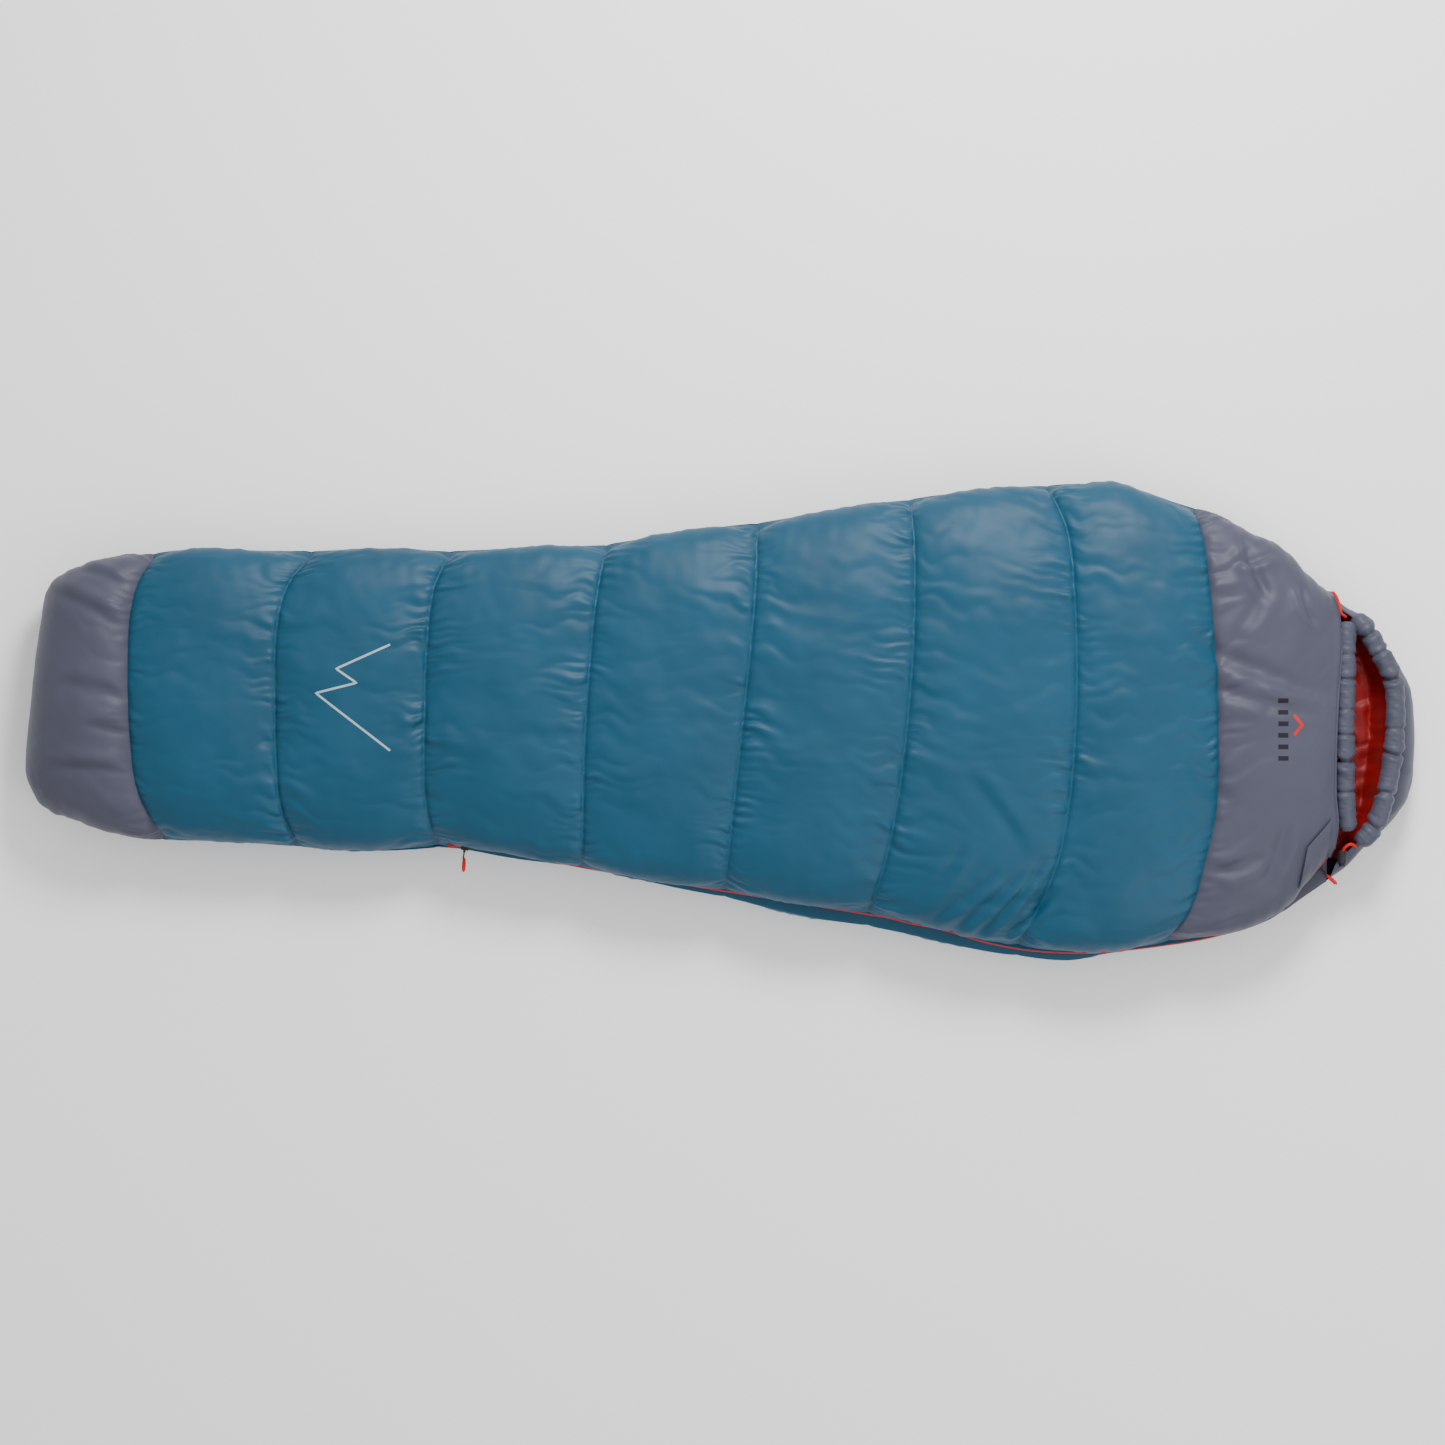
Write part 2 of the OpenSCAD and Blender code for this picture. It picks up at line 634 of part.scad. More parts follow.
// The lock lies along Y: its mouth is at -Y and the cord enters it from +Y.
module at_lock() {
  translate([lock_at.x * scale_x, lock_at.y * scale_y - lock_l / 2, lock_at.z * scale_z])
    rotate([-90, 0, 0]) children();
}

module cord_lock_barrel() {
  color(black) at_lock() difference() {
    cylinder(d = lock_d, h = lock_l, $fn = 48);
    translate([0, 0, -1]) cylinder(r = lock_d / 2 - lock_wall, h = bore_l + 1, $fn = 48);
    translate([0, 0, lock_l - 4]) cylinder(r = cord_hole_r, h = 5, $fn = 32);
  }
}

module cord_lock_plunger() {
  color(black) at_lock()
    translate([0, 0, -plunger_travel - 1]) cylinder(r = plunger_r, h = plunger_l, $fn = 48);
}

module cord_lock_spring() {
  z0 = plunger_l - plunger_travel - 1 + spring_wire_r + 0.1;
  z1 = bore_l - spring_wire_r - 0.1;
  steps = 12;
  color("silver") at_lock()
  loft([for (k = [0 : spring_turns * steps])
    let (a = 360 * k / steps, c = [spring_r * cos(a), spring_r * sin(a)],
         z = z0 + (z1 - z0) * k / (spring_turns * steps))
    [for (j = [5 : -1 : 0])
      [c.x + spring_wire_r * cos(60 * j) * cos(a), c.y + spring_wire_r * cos(60 * j) * sin(a),
       z + spring_wire_r * sin(60 * j)]]]);
}

// ---- closure tab over the top end of the zip ----
// Its corners in plan: the first two lie on the hinge, along the zip edge at the neck.
tab_hinge = [[905, -262], [948, -212]];
tab_tip = [[918, -196], [955, -152]];
tab_t = 1.6;
patch_t = 1;
tab_n = 5;

// A thin sheet that lies over the yoke, between the hinge and tip lines, shrunk by a margin.
module yoke_sheet(lift, thick, margin) {
  loops = [for (i = [0 : tab_n - 1])
    let (s = margin + (1 - 2 * margin) * share(i, tab_n),
         a = tab_hinge[0] + (tab_hinge[1] - tab_hinge[0]) * s,
         b = tab_tip[0] + (tab_tip[1] - tab_tip[0]) * s)
    [for (side = [1, 0], k = [0 : tab_n - 1])
      let (kk = side == 1 ? k : tab_n - 1 - k,
           t = margin + (1 - 2 * margin) * share(kk, tab_n),
           p = a + (b - a) * t,
           x = p.x * scale_x, y = p.y * scale_y)
      [x, y, top_z(x, y, flap_base_z) + lift + side * thick]]];
  loft(loops);
}

patch_lift = 0.8;

module yoke_loop_patch() { color(black) yoke_sheet(patch_lift, patch_t, 0.22); }
module tab_hook_patch() { color(black) yoke_sheet(patch_lift + patch_t + gap, patch_t, 0.2); }
module closure_tab() {
  color(grey) yoke_sheet(patch_lift + 2 * patch_t + 2 * gap, tab_t, 0.08);
}

bottom_panel();
zip_side_wall();
far_side_wall();
seam_strip();
bottom_insulation();
bottom_lining();
foot_shell();
foot_insulation();
foot_lining();
top_shell();
yoke_strip();
top_insulation();
top_lining();
print_mark();
hood_shell();
hood_floor_panel();
hood_insulation();
hood_floor_insulation();
hood_lining();
hood_floor_lining();
hood_rim_roll();
hood_drawcord();
cord_lock_barrel();
cord_lock_spring();
cord_lock_plunger();
zip_tape_base();
zip_coil_base();
zip_bottom_stop();
zip_top_stop();
flap_shell();
flap_yoke();
flap_insulation();
flap_lining();
chin_roll();
neck_piping();
zip_tape_flap();
zip_coil_flap();
draft_tube();
yoke_loop_patch();
closure_tab();
tab_hook_patch();
lower_slider_body();
lower_pull_tab();
lower_pull_cord();
upper_slider_body();
upper_pull_tab();
upper_pull_cord();
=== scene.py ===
"""Mummy sleeping bag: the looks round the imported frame. Lengths are in millimetres until a mesh is made."""

import math

import bpy
import numpy as np
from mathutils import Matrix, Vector
from mathutils.bvhtree import BVHTree


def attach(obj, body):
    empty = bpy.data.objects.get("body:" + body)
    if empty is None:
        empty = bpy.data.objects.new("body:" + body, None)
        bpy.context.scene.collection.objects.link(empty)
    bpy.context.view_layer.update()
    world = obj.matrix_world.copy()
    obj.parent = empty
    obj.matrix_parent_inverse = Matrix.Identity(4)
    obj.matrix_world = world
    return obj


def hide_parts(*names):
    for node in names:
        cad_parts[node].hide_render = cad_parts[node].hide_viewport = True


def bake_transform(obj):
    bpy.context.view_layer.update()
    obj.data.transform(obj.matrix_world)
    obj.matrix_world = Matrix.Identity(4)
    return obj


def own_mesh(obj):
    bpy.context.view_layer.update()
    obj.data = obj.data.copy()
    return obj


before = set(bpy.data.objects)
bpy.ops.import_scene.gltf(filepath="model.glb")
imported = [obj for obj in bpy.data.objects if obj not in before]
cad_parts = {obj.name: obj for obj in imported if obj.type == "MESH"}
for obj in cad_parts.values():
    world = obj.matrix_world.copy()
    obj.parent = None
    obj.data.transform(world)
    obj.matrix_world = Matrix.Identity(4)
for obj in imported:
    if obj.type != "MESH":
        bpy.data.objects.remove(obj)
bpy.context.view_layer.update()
MM = 0.001


# ---------------------------------------------------------------- small maths
def smooth(points):
    """A smooth function through (x, y) points, flat where the points turn back."""
    x, y = np.array(sorted(points), float).T
    d = np.diff(y) / np.diff(x)
    m = np.concatenate([[d[0]], np.where(d[1:] * d[:-1] > 0, (d[1:] + d[:-1]) / 2, 0), [d[-1]]])

    def at(q):
        q = np.clip(q, x[0], x[-1])
        i = np.clip(np.searchsorted(x, q) - 1, 0, len(x) - 2)
        h = x[i + 1] - x[i]
        t = (q - x[i]) / h
        return (
            (2 * t**3 - 3 * t**2 + 1) * y[i]
            + (t**3 - 2 * t**2 + t) * h * m[i]
            + (3 * t**2 - 2 * t**3) * y[i + 1]
            + (t**3 - t**2) * h * m[i + 1]
        )

    return at


def noise(u, v, seed=0):
    """Smooth noise over two arrays, from about -1 to 1."""
    u, v = np.broadcast_arrays(np.asarray(u, float), np.asarray(v, float))
    iu, iv = np.floor(u).astype(np.int64), np.floor(v).astype(np.int64)
    fu, fv = u - iu, v - iv
    su, sv = (f * f * f * (f * (f * 6 - 15) + 10) for f in (fu, fv))

    def corner(i, j):
        h = ((iu + i) * 374761393 + (iv + j) * 668265263 + seed * 974634777) & 0xFFFFFFFF
        h = ((h ^ (h >> 13)) * 1274126177) & 0xFFFFFFFF
        a = (h ^ (h >> 16)) * (2 * math.pi / 4294967296)
        return np.cos(a) * (fu - i) + np.sin(a) * (fv - j)

    low = corner(0, 0) * (1 - su) + corner(1, 0) * su
    high = corner(0, 1) * (1 - su) + corner(1, 1) * su
    return 1.5 * (low * (1 - sv) + high * sv)


def step(t):
    t = np.clip(t, 0, 1)
    return t * t * (3 - 2 * t)


def spline(points, n):
    """n points evenly spaced along a smooth line through a few points."""
    p = np.array(points, float)
    p = np.vstack([2 * p[0] - p[1], p, 2 * p[-1] - p[-2]])
    out = []
    for i in range(1, len(p) - 2):
        t = np.linspace(0, 1, 24, endpoint=False)[:, None]
        a, b, c, d = p[i - 1], p[i], p[i + 1], p[i + 2]
        out.append(0.5 * (2 * b + (c - a) * t + (2 * a - 5 * b + 4 * c - d) * t**2
                          + (3 * b - a - 3 * c + d) * t**3))
    q = np.vstack([*out, p[-2:-1]])
    s = np.concatenate([[0], np.cumsum(np.linalg.norm(np.diff(q, axis=0), axis=1))])
    w = np.linspace(0, s[-1], n)
    return np.stack([np.interp(w, s, q[:, k]) for k in range(3)], 1)


def normals(p):
    """Unit normals of a grid of points, to the left of its first direction."""
    n = np.cross(np.gradient(p, axis=0), np.gradient(p, axis=1))
    return n / np.maximum(np.linalg.norm(n, axis=2, keepdims=True), 1e-9)


# ---------------------------------------------------------------- meshes
def mesh(name, verts, faces, body="base"):
    data = bpy.data.meshes.new(name)
    data.from_pydata((np.asarray(verts, float) * MM).tolist(), [], faces)
    data.update()
    data.polygons.foreach_set("use_smooth", [True] * len(data.polygons))
    obj = bpy.data.objects.new(name, data)
    bpy.context.scene.collection.objects.link(obj)
    if body:
        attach(obj, body)
    return obj


def grid_faces(m, n, close=False, flip=False):
    faces = []
    for i in range(m - 1):
        for j in range(n if close else n - 1):
            k = (j + 1) % n
            f = (i * n + j, (i + 1) * n + j, (i + 1) * n + k, i * n + k)
            faces.append(f[::-1] if flip else f)
    return faces


def sheet_mesh(name, p, body="base", close=False, flip=False):
    m, n = p.shape[:2]
    return mesh(name, p.reshape(-1, 3), grid_faces(m, n, close, flip), body)


def tube(name, path, radius, body="base", sides=12, caps=True, detail=None):
    """A round tube along path. radius is a number or one for each point; detail(s, a) adds to it."""
    path = np.asarray(path, float)
    n = len(path)
    r = np.broadcast_to(np.asarray(radius, float), (n,))
    d = np.gradient(path, axis=0)
    d /= np.linalg.norm(d, axis=1, keepdims=True)
    side = np.cross(d, [0, 0, 1.0])
    side /= np.maximum(np.linalg.norm(side, axis=1, keepdims=True), 1e-6)
    up = np.cross(side, d)
    a = np.linspace(0, 2 * math.pi, sides, endpoint=False)
    s = np.concatenate([[0], np.cumsum(np.linalg.norm(np.diff(path, axis=0), axis=1))])
    rr = r[:, None] + (detail(s[:, None], a[None, :]) if detail else 0)
    p = path[:, None] + side[:, None] * (rr * np.cos(a))[..., None] + up[:, None] * (rr * np.sin(a))[..., None]
    verts, faces = p.reshape(-1, 3).tolist(), grid_faces(n, sides, close=True)
    if caps:
        for end, order in ((0, 1), (n - 1, -1)):
            verts.append(path[end].tolist())
            for j in range(sides):
                f = (end * sides + j, end * sides + (j + 1) % sides, len(verts) - 1)
                faces.append(f[::order])
    return mesh(name, verts, faces, body)


# ---------------------------------------------------------------- outline, seams and heights
far_y = smooth([
    (-1068, 210), (-1037, 237), (-1005, 248), (-973, 257), (-910, 269), (-847, 274), (-720, 272),
    (-594, 274), (-467, 273), (-340, 275), (-214, 281), (-87, 297), (40, 316), (166, 333),
    (293, 355), (420, 368), (483, 375), (560, 378), (609, 378), (673, 363), (736, 344),
    (768, 337), (800, 321), (831, 300), (863, 287), (894, 267), (926, 231), (958, 209)])
ground_y = smooth([
    (-1093, -108), (-1068, -134), (-1037, -146), (-1005, -157), (-973, -170), (-942, -180),
    (-910, -186), (-783, -188), (-657, -199), (-530, -203), (-435, -200), (-340, -214),
    (-214, -232), (-87, -259), (40, -286), (166, -313), (293, -335), (420, -364), (483, -373),
    (546, -377), (609, -366), (704, -353), (768, -343), (863, -314), (894, -295), (926, -273),
    (958, -252)])
zip_y = smooth([
    (-1093, -108), (-1068, -134), (-1037, -146), (-1005, -157), (-973, -170), (-942, -180),
    (-910, -186), (-783, -188), (-657, -199), (-530, -201), (-440, -197), (-430, -196.8),
    (-200, -234.3), (100, -283.2), (230, -304.4), (343, -323), (420, -345), (486, -357), (570, -361),
    (644, -356), (707, -348), (771, -337), (840, -316), (882, -293), (894, -283.7), (925, -250.2),
    (950, -223.1), (958, -214.5)])
crown_z = smooth([
    (-1093, 140), (-1040, 145), (-1000, 149), (-915, 147), (-600, 140), (-300, 143), (0, 150),
    (300, 157), (520, 160), (700, 157), (850, 147), (958, 133)])
SEAM_Z = 62
ZIP_SLIT = 14

# The foot end, the colour seam of the foot, six quilting seams, the yoke seam and the neck edge
SEAMS = [
    [(-1068, 210), (-1076, 150), (-1084, 90), (-1092, 30), (-1099, -30), (-1101, -75), (-1093, -108)],
    [(-902, 264), (-923, 202), (-931, 115), (-928, -28), (-918, -107), (-886, -184)],
    [(-652, 268), (-685, 210), (-700, 131), (-701, 36), (-700, -59), (-693, -139), (-674, -199)],
    [(-432, 268), (-453, 210), (-464, 115), (-467, 4), (-468, -91), (-459, -170), (-451, -199)],
    [(-184, 279), (-198, 194), (-210, 67), (-217, -59), (-220, -170), (-223, -221)],
    [(54, 316), (52, 225), (44, 115), (32, 4), (22, -91), (10, -202), (3, -268)],
    [(296, 347), (301, 257), (299, 131), (290, 4), (277, -107), (256, -218), (230, -305)],
    [(514, 373), (540, 305), (551, 194), (554, 67), (551, -28), (543, -123), (525, -218),
     (494, -297), (467, -354)],
    [(750, 333), (760, 257), (768, 162), (775, 67), (777, -59), (774, -139), (758, -218),
     (734, -305), (707, -350)],
    [(961, 206), (966, 131), (959, 36), (955, -59), (957, -123), (961, -170), (958, -212)]]
FOOT, TEAL_FROM, YOKE_FROM, NECK = 0, 1, 8, 9


def by_share(seam):
    """A seam as x over v, which runs from -1 at its zip end to 1 at its far end."""
    y = [p[1] for p in seam]
    middle, half = (max(y) + min(y)) / 2, (max(y) - min(y)) / 2
    return smooth([((b - middle) / half, a) for a, b in seam])


seam_x = [by_share(s) for s in SEAMS]


def section(n, half=300, rise=90):
    """n angles across the bag whose points on a typical section are evenly spaced."""
    a = np.radians(np.linspace(-90, 90, 4001))
    y, z = across(a) * half, height(a) * rise
    s = np.concatenate([[0], np.cumsum(np.hypot(np.diff(y), np.diff(z)))])
    return np.interp(np.linspace(0, s[-1], n), s, a)


def across(a):
    return np.sign(np.sin(a)) * np.abs(np.sin(a)) ** 0.8


def height(a):
    return np.maximum(np.cos(a), 0) ** 0.6


def columns(first, last, per_channel):
    """Positions along the bag, closer together at the seams, as (channel, share) pairs."""
    out = []
    for c in range(first, last):
        k = np.linspace(0, 1, per_channel, endpoint=c == last - 1)
        t = k**2 if c == FOOT else 0.55 * (0.5 - 0.5 * np.cos(math.pi * k)) + 0.45 * k
        out += [(c, float(q)) for q in t]
    return out


def plan(cols, v, edge, inset=0.0):
    """Plan positions for columns by shares across. edge is the function of the zip-side outline."""
    x = np.empty((len(cols), len(v)))
    lo, hi = np.empty((len(cols), 1)), np.empty((len(cols), 1))
    for i, (c, t) in enumerate(cols):
        x[i] = seam_x[c](v) * (1 - t) + seam_x[c + 1](v) * t
        ends = [seam_x[c](e) * (1 - t) + seam_x[c + 1](e) * t for e in (-1.0, 1.0)]
        lo[i], hi[i] = edge(ends[0]), far_y(ends[1])
    y = (lo + hi) / 2 + ((hi - lo) / 2 - inset) * v[None, :]
    return x, y


def foot_rise(cols):
    """How far each column has risen from the foot end, from 0 to 1."""
    return np.array([[math.sqrt(1 - (1 - t) ** 4) if c == FOOT else 1.0] for c, t in cols])


# ---------------------------------------------------------------- puffs, puckers and folds
FOLDS = [  # x0, y0, x1, y1, half width, depth: soft folds that run across the cloth
    (818, 292, 858, 190, 13, 5), (730, 128, 950, 42, 20, 5), (748, 60, 940, 12, 16, 3),
    (800, 250, 870, 268, 9, 3), (905, 215, 930, 150, 9, 4), (850, -250, 885, -150, 15, 3.5),
    (770, -240, 850, -205, 14, 3), (720, -60, 800, -130, 18, 2.5), (790, 120, 850, 215, 16, 3),
    (360, -330, 470, -235, 10, 4.5), (400, -340, 505, -215, 9, 4), (330, -310, 430, -230, 9, 3.5),
    (440, -345, 520, -265, 8, 3.5), (300, -290, 380, -190, 12, 3), (470, -200, 380, -80, 16, 2.5),
    (-940, 150, -1050, 205, 14, 4), (-930, 40, -1040, 60, 18, 3), (-930, -80, -1060, -70, 14, 3.5),
    (-935, 215, -1010, 238, 9, 3), (-925, -20, -1000, -5, 12, 2.5)]


def folds(x, y):
    d = np.zeros_like(x)
    for x0, y0, x1, y1, w, deep in FOLDS:
        ex, ey = x1 - x0, y1 - y0
        long = math.hypot(ex, ey)
        t = ((x - x0) * ex + (y - y0) * ey) / long**2
        off = ((x - x0) * -ey + (y - y0) * ex) / long + 5 * np.sin(3 * t)
        run = step(t * 3 + 0.3) * step((1 - t) * 2.4 + 0.3)
        d += deep * run * (0.8 * np.exp(-(((off + w) / w) ** 2)) - np.exp(-((off / w * 1.3) ** 2)))
    return d


def puckers(x, s, d, seed, tall, reach, pitch=17.0):
    """Small ridges that start at a seam and die out away from it. s runs along the seam, d from it."""
    far = np.abs(d)
    lively = 0.62 + 0.75 * noise(s / 95, seed * 3.7, seed + 5)
    drift = 0.5 * noise(s / 60, d / 45, seed + 9)
    fan = d * 0.16 * noise(s / 140, seed * 1.3, seed + 2)
    n = noise((s + fan) / pitch + drift, d / 75, seed)
    long_n = noise((s + 2 * fan) / (pitch * 2.3) + drift, d / 160, seed + 31)
    near = np.exp(-((far / (reach * np.clip(lively, 0.35, 1.6))) ** 1.25))
    body = np.exp(-((far / (reach * 2.6)) ** 1.5))
    start = 0.35 + 0.65 * step(far / 7)
    return start * tall * (near * (1.5 * np.abs(n) - 0.42) * lively + body * 0.6 * (1.3 * np.abs(long_n) - 0.35))


def quilted(p, cols, seed=0, tall=7.0, puff=15.0, reach=34.0, ends=True):
    """Adds the puff of each channel, the pull of its seams, their puckers, a soft unevenness and, with ends, the
    hang at the ends.
    """
    s = np.concatenate([np.zeros((len(p), 1)),
                        np.cumsum(np.linalg.norm(np.diff(p, axis=1), axis=2), axis=1)], axis=1)
    total = s[:, -1:]
    x, y = p[..., 0], p[..., 1]
    out = np.zeros_like(x)
    chan = np.array([c for c, _ in cols])
    share = np.array([t for _, t in cols])[:, None]
    for c in sorted(set(chan)):
        k = chan == c
        v = np.linspace(-1, 1, p.shape[1])[None, :]
        width = 240.0 if c not in (FOOT, NECK - 1) else 170.0
        t = share[k]
        d_lo, d_hi = t * width, (1 - t) * width
        dome = np.sin(math.pi * np.clip(t, 0, 1)) ** 0.62
        if c == FOOT:
            dome = 1 - t**7
        if c == NECK - 1:
            dome = np.sin(math.pi / 2 * np.clip(t * 1.6, 0, 1)) ** 0.62 * (1 - 0.5 * t**8)
        out[k] += puff * (dome - 0.8) * np.ones_like(v)
        if c != FOOT:
            out[k] += puckers(x[k], s[k], d_lo, seed + 7 * c, tall, reach)
            out[k] -= 2.2 * np.exp(-((d_lo / 4.5) ** 2))
        if c != NECK - 1:
            out[k] += puckers(x[k], s[k], -d_hi, seed + 7 * (c + 1) + 3, tall, reach)
            out[k] -= 2.2 * np.exp(-((d_hi / 4.5) ** 2))
    out += 3.0 * noise(x / 150, y / 120, seed + 50) + 1.6 * noise(x / 62, y / 75, seed + 51)
    out += 0.5 * noise(x / 21, y / 26, seed + 52)
    if ends:
        edge = np.minimum(s, total - s)
        hang = np.exp(-((edge / 55) ** 1.4)) * step(edge / 10)
        out += 2.8 * hang * (1.5 * np.abs(noise(x / 26, edge / 90, seed + 60)) - 0.4)
        out *= 0.25 + 0.75 * step(edge / 14)
    return out


def raised(p, amount, away=None):
    n = normals(p)
    if away is None:
        away = np.sign(n[..., 2].mean())
    return p + n * away * amount[..., None]


# ---------------------------------------------------------------- top quilt
def zip_lift(x):
    """The top quilt's edge stands over the slit that the zip closes."""
    return ZIP_SLIT * step((x + 450) / 90)


def top_surface(cols, rows, depth=0.0, puff=15.0, tall=7.0, seed=0):
    a = section(rows)
    v = across(a)
    x, y = plan(cols, v, zip_y, inset=0.7 * depth)
    base = SEAM_Z + zip_lift(x) * step((1 - v) / 2)[None, :]
    rise = (crown_z(x) - base - depth) * foot_rise(cols)
    p = np.stack([x, y, base + rise * height(a)[None, :]], 2)
    d = quilted(p, cols, seed, tall, puff) + 1.5 * folds(x, y) * (1 if depth == 0 else 0.3)
    return raised(p, d, 1)


ROWS = 220
teal_cols = columns(TEAL_FROM, YOKE_FROM, 50)
yoke_cols = columns(YOKE_FROM, NECK, 52)
whole = top_surface(teal_cols[:-1] + yoke_cols, ROWS)
split = len(teal_cols) - 1
teal_p, yoke_p = whole[: split + 1], whole[split:]

# the yoke's neck edge rolls over and down to the lining
turn = [(3, -1), (6, -4), (8, -9), (8, -15), (7, -22)]
edge_row = yoke_p[-1]
yoke_p = np.concatenate([yoke_p, [edge_row + np.array([dx, 0, dz]) for dx, dz in turn]])


def hem(p):
    """Turns the zip-side edge of the top quilt in and under."""
    e = p[:, 0]
    rows = [e + np.array([0, 1.5, -1.5]), e + np.array([0, 5, -2.5])]
    return np.concatenate([np.stack(rows[::-1], 1), p], axis=1)


top_teal = sheet_mesh("top_quilt_teal", hem(teal_p), None)
top_yoke = sheet_mesh("shoulder_yoke", hem(yoke_p), None)

LINING_DEPTH = 36
lining_cols = columns(TEAL_FROM, NECK, 22)
lining_p = top_surface(lining_cols, 110, LINING_DEPTH, puff=7, tall=2.5, seed=400)
lining_p[:, 0, 1] = zip_y(lining_p[:, 0, 0]) + 5
neck_band = [lining_p[-1] + np.array([4, 0, 6]), lining_p[-1] + np.array([5, 0, 18])]
lining_p = np.concatenate([lining_p, neck_band])
top_lining = sheet_mesh("top_lining", lining_p, None, flip=True)

# ---------------------------------------------------------------- foot cap and bottom quilt
def lower_heights(a, x, rise):
    top = np.where(a[None, :] < 0, SEAM_Z - 3.0 * (x > -450), SEAM_Z)
    return np.maximum(0.0, top - 85 * rise * height(a)[None, :])


def lower_surface(cols, rows, puff, tall, seed):
    a = section(rows, 300, 60)
    v = across(a)
    x, y = plan(cols, v, ground_y)
    z = lower_heights(a, x, foot_rise(cols))
    p = np.stack([x, y, z], 2)
    d = quilted(p, cols, seed, tall, puff) * step(z / 22)
    n = normals(p)
    p = p - n * d[..., None] * np.sign(n[..., 2].mean())
    p[..., 2] = np.maximum(p[..., 2], 0.25)
    return p


foot_cols = columns(FOOT, TEAL_FROM, 56)
cap_top = top_surface(foot_cols, 150)
cap_top[-1] = whole[0][np.round(np.linspace(0, ROWS - 1, 150)).astype(int)]
cap_low = lower_surface(foot_cols, 90, 12, 3.5, 900)
ring = np.concatenate([cap_top, cap_low[:, ::-1]], axis=1)
foot_cap = sheet_mesh("foot_cap", ring, "base", close=True)

bottom_cols = columns(TEAL_FROM, NECK, 34)
bottom_p = lower_surface(bottom_cols, 150, 12, 3.5, 700)
lip = []
for q in np.linspace(0, 1, 6)[:-1]:
    e = bottom_p[:, 0].copy()
    inner = np.stack([e[:, 0], zip_y(e[:, 0]) + 2.0, np.full(len(e), 61.6)], 1)
    bend = math.sin(q * math.pi / 2)
    row = inner * (1 - bend) + e * bend
    row[:, 2] = e[:, 2] + (61.6 - e[:, 2]) * math.cos(q * math.pi / 2)
    lip.append(row)
bottom_p = np.concatenate([np.stack(lip, 1), bottom_p], axis=1)
cut = (YOKE_FROM - TEAL_FROM) * 34
bottom_teal = sheet_mesh("bottom_quilt_teal", bottom_p[: cut + 1], "base", flip=True)
bottom_grey = sheet_mesh("bottom_quilt_grey", bottom_p[cut:], "base", flip=True)

# inside of the bottom quilt
in_cols = columns(TEAL_FROM, NECK, 20)
a_in = section(100, 300, 60)
x_in, y_in = plan(in_cols, across(a_in), ground_y, inset=24)
z_in = np.maximum(35.0, SEAM_Z - 50 * height(a_in))[None, :] * np.ones_like(x_in)
inside_p = np.stack([x_in, y_in, z_in], 2)
inside_p = raised(inside_p, quilted(inside_p, in_cols, 300, 2.6, 6, 34), 1)
inside_p[:, 0] = np.stack([inside_p[:, 0, 0], zip_y(inside_p[:, 0, 0]) + 3, np.full(len(in_cols), 63.0)], 1)
bottom_lining = sheet_mesh("bottom_lining", inside_p, "base")

# ---------------------------------------------------------------- hood
OUTLINE = [(959, 209), (989, 185), (1021, 168), (1041, 140), (1057, 112), (1079, 81), (1094, 48),
           (1099, 5), (1099, -50), (1092, -104), (1077, -138), (1052, -169), (1021, -197),
           (989, -230), (959, -251)]
RIM = [(975, 178, 92), (994, 166, 97), (1011, 151, 101), (1025, 128, 103), (1037, 106, 105),
       (1053, 74, 107), (1058, 40, 108), (1058, 2, 109), (1055, -45, 109), (1046, -98, 107),
       (1037, -138, 104), (1020, -172, 99), (1001, -190, 96), (985, -206, 90), (972, -218, 86)]
ROLL_R = 15
N_HOOD = 190
k = np.linspace(0, 1, len(RIM))
kk = np.linspace(0, 1, N_HOOD)
outline_s = np.stack([smooth(list(zip(k, [p[i] for p in OUTLINE])))(kk) for i in (0, 1)], 1)
rim_s = np.stack([smooth(list(zip(k, [p[i] for p in RIM])))(kk) for i in (0, 1, 2)], 1)
out_dir = outline_s - rim_s[:, :2]
wide = np.linalg.norm(out_dir, axis=1, keepdims=True)
out_dir = out_dir / wide
along = np.concatenate([[0], np.cumsum(np.linalg.norm(np.diff(rim_s[:, :2], axis=0), axis=1))])


def hood_wall(q, depth=0.0):
    """Rows of the hood's wall: q runs from the crest (0) over the bulge (0.6) to the ground (1)."""
    up = np.minimum(1, q / 0.6) * math.pi / 2
    under = np.maximum(0, q - 0.6) / 0.4 * math.pi / 2
    crest = rim_s[:, 2] - ROLL_R + 4
    plan_p = (rim_s[:, None, :2] + out_dir[:, None] * ((wide - depth) * np.sin(up)[None, :])[..., None]
              - out_dir[:, None] * (6 * (1 - np.cos(under)))[None, :, None])
    z = np.where(q <= 0.6, 42 + (crest[:, None] - 42 - depth) * np.cos(up), 42 * (1 - np.sin(under)))
    return np.concatenate([plan_p, np.maximum(z, 0.25)[..., None]], 2)


q_out = np.linspace(0, 1, 60)
dome_p = hood_wall(q_out)
sc, qc = along[:, None], q_out[None, :]
crease = 3.2 * np.exp(-((qc / 0.35) ** 1.5)) * (1.5 * np.abs(noise(sc / 26, qc * 1.2, 77)) - 0.45)
crease += 2.4 * (1.3 * np.abs(noise(sc / 58 + qc, qc * 1.6, 78)) - 0.4) + 2.0 * noise(sc / 90, qc * 2, 79)
crease *= step((1 - qc) * 6)
dome_p = raised(dome_p, crease * np.ones_like(dome_p[..., 0]),
                np.sign((normals(dome_p)[N_HOOD // 2, 20] * [1, 0, 0.5]).sum()))
dome_p[..., 2] = np.maximum(dome_p[..., 2], 0.25)
hood_dome = sheet_mesh("hood_dome", dome_p, "base", flip=True)

